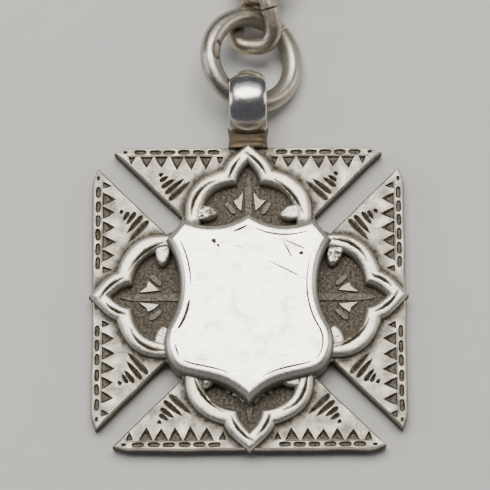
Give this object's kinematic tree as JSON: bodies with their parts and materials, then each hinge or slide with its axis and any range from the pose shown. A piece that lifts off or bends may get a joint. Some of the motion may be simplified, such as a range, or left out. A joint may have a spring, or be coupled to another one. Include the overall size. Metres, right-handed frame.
{
  "type": "pocket watch chain",
  "caption": "Curb-link watch chain with a cross-shaped fob medal and shield on a jump ring at one end and a spring-gate swivel clip at the other.",
  "frame": {"origin": "centre of the medal's flat back, which lies on the table", "axes": "+Z out of the medal's face, +Y from the medal towards the bail and chain, +X to the right as the face is read"},
  "size_m": [0.0891, 0.0937, 0.0058],
  "materials": {
    "engraved_silver": "satin silver with dark tarnish in the cuts",
    "polished_silver": "polished silver with fine scratches",
    "solder_silver": "rough tarnished solder seat",
    "worn_silver": "worn silver with a warm tarnish",
    "clip_silver": "satin silver",
    "spring_steel": "bright steel"
  },
  "bodies": {
    "medal": {"cross_plate": "engraved_silver", "shield_cartouche": "polished_silver", "bail": "polished_silver", "bail_collar": "solder_silver"},
    "jump_ring": {"jump_ring": "polished_silver"},
    "link_01": {"link_01": "worn_silver"},
    "link_02": {"link_02": "worn_silver"},
    "link_03": {"link_03": "worn_silver"},
    "link_04": {"link_04": "worn_silver"},
    "link_05": {"link_05": "worn_silver"},
    "link_06": {"link_06": "worn_silver"},
    "link_07": {"link_07": "worn_silver"},
    "link_08": {"link_08": "worn_silver"},
    "link_09": {"link_09": "worn_silver"},
    "link_10": {"link_10": "worn_silver"},
    "link_11": {"link_11": "worn_silver"},
    "link_12": {"link_12": "worn_silver"},
    "link_13": {"link_13": "worn_silver"},
    "link_14": {"link_14": "worn_silver"},
    "link_15": {"link_15": "worn_silver"},
    "link_16": {"link_16": "worn_silver"},
    "swivel_eye": {"swivel_eye": "worn_silver"},
    "clip_body": {"clip_body": "clip_silver", "gate_pin": "spring_steel", "gate_spring": "spring_steel"},
    "clip_gate": {"clip_gate": "clip_silver"}
  },
  "joints": [
    {"name": "ring_swing", "type": "hinge", "parent": "medal", "child": "jump_ring", "pos_m": [0.00035, 0.0179, 0.00285], "axis": [1, 0, 0], "range_deg": [0, 120]},
    {"name": "link_01_swing", "type": "hinge", "parent": "jump_ring", "child": "link_01", "pos_m": [0.00035, 0.0261, 0.00285], "axis": [0.9135, 0, -0.4067], "range_deg": [0, 16]},
    {"name": "link_02_sway", "type": "hinge", "parent": "link_01", "child": "link_02", "pos_m": [0.0011, 0.02899, 0.00275], "axis": [0, 0, 1], "range_deg": [-6, 17]},
    {"name": "link_03_lift", "type": "hinge", "parent": "link_02", "child": "link_03", "pos_m": [0.00193, 0.03372, 0.00259], "axis": [0.9755, -0.2198, 0], "range_deg": [0, 12]},
    {"name": "link_04_sway", "type": "hinge", "parent": "link_03", "child": "link_04", "pos_m": [0.0032, 0.03835, 0.00239], "axis": [0, 0, 1], "range_deg": [-6, 17]},
    {"name": "link_05_lift", "type": "hinge", "parent": "link_04", "child": "link_05", "pos_m": [0.0049, 0.04284, 0.00215], "axis": [-0.918, 0.3965, 0], "range_deg": [-12, 0]},
    {"name": "link_06_sway", "type": "hinge", "parent": "link_05", "child": "link_06", "pos_m": [0.00701, 0.04715, 0.00187], "axis": [0, 0, 1], "range_deg": [-6, 17]},
    {"name": "link_07_lift", "type": "hinge", "parent": "link_06", "child": "link_07", "pos_m": [0.0095, 0.05125, 0.00178], "axis": [0.8288, -0.5595, 0], "range_deg": [0, 12]},
    {"name": "link_08_sway", "type": "hinge", "parent": "link_07", "child": "link_08", "pos_m": [0.01237, 0.0551, 0.00178], "axis": [0, 0, 1], "range_deg": [-6, 17]},
    {"name": "link_09_lift", "type": "hinge", "parent": "link_08", "child": "link_09", "pos_m": [0.01558, 0.05867, 0.00178], "axis": [-0.711, 0.7032, 0], "range_deg": [-12, 0]},
    {"name": "link_10_sway", "type": "hinge", "parent": "link_09", "child": "link_10", "pos_m": [0.01912, 0.06192, 0.00178], "axis": [0, 0, 1], "range_deg": [-6, 17]},
    {"name": "link_11_lift", "type": "hinge", "parent": "link_10", "child": "link_11", "pos_m": [0.02293, 0.06483, 0.00178], "axis": [0.5686, -0.8226, 0], "range_deg": [0, 12]},
    {"name": "link_12_sway", "type": "hinge", "parent": "link_11", "child": "link_12", "pos_m": [0.027, 0.06737, 0.00178], "axis": [0, 0, 1], "range_deg": [-6, 17]},
    {"name": "link_13_lift", "type": "hinge", "parent": "link_12", "child": "link_13", "pos_m": [0.03129, 0.06952, 0.00178], "axis": [-0.4066, 0.9136, 0], "range_deg": [-12, 0]},
    {"name": "link_14_sway", "type": "hinge", "parent": "link_13", "child": "link_14", "pos_m": [0.03576, 0.07127, 0.00178], "axis": [0, 0, 1], "range_deg": [-6, 17]},
    {"name": "link_15_lift", "type": "hinge", "parent": "link_14", "child": "link_15", "pos_m": [0.04038, 0.07259, 0.00178], "axis": [0.2305, -0.9731, 0], "range_deg": [0, 12]},
    {"name": "link_16_sway", "type": "hinge", "parent": "link_15", "child": "link_16", "pos_m": [0.0451, 0.07348, 0.00178], "axis": [0, 0, 1], "range_deg": [-6, 17]},
    {"name": "swivel_eye_lift", "type": "hinge", "parent": "link_16", "child": "swivel_eye", "pos_m": [0.04988, 0.07393, 0.00185], "axis": [-0.0929, 0.9957, 0], "range_deg": [-12, 0]},
    {"name": "clip_swivel", "type": "hinge", "parent": "swivel_eye", "child": "clip_body", "pos_m": [0.04988, 0.07393, 0.00185], "axis": [1, 0, 0], "continuous": true},
    {"name": "gate_hinge", "type": "hinge", "parent": "clip_body", "child": "clip_gate", "pos_m": [0.06128, 0.07032, 0.00185], "axis": [0, 0, 1], "range_deg": [0, 25], "stiffness_Nm_per_rad": 0.002, "springref_deg": -57.3}
  ]
}
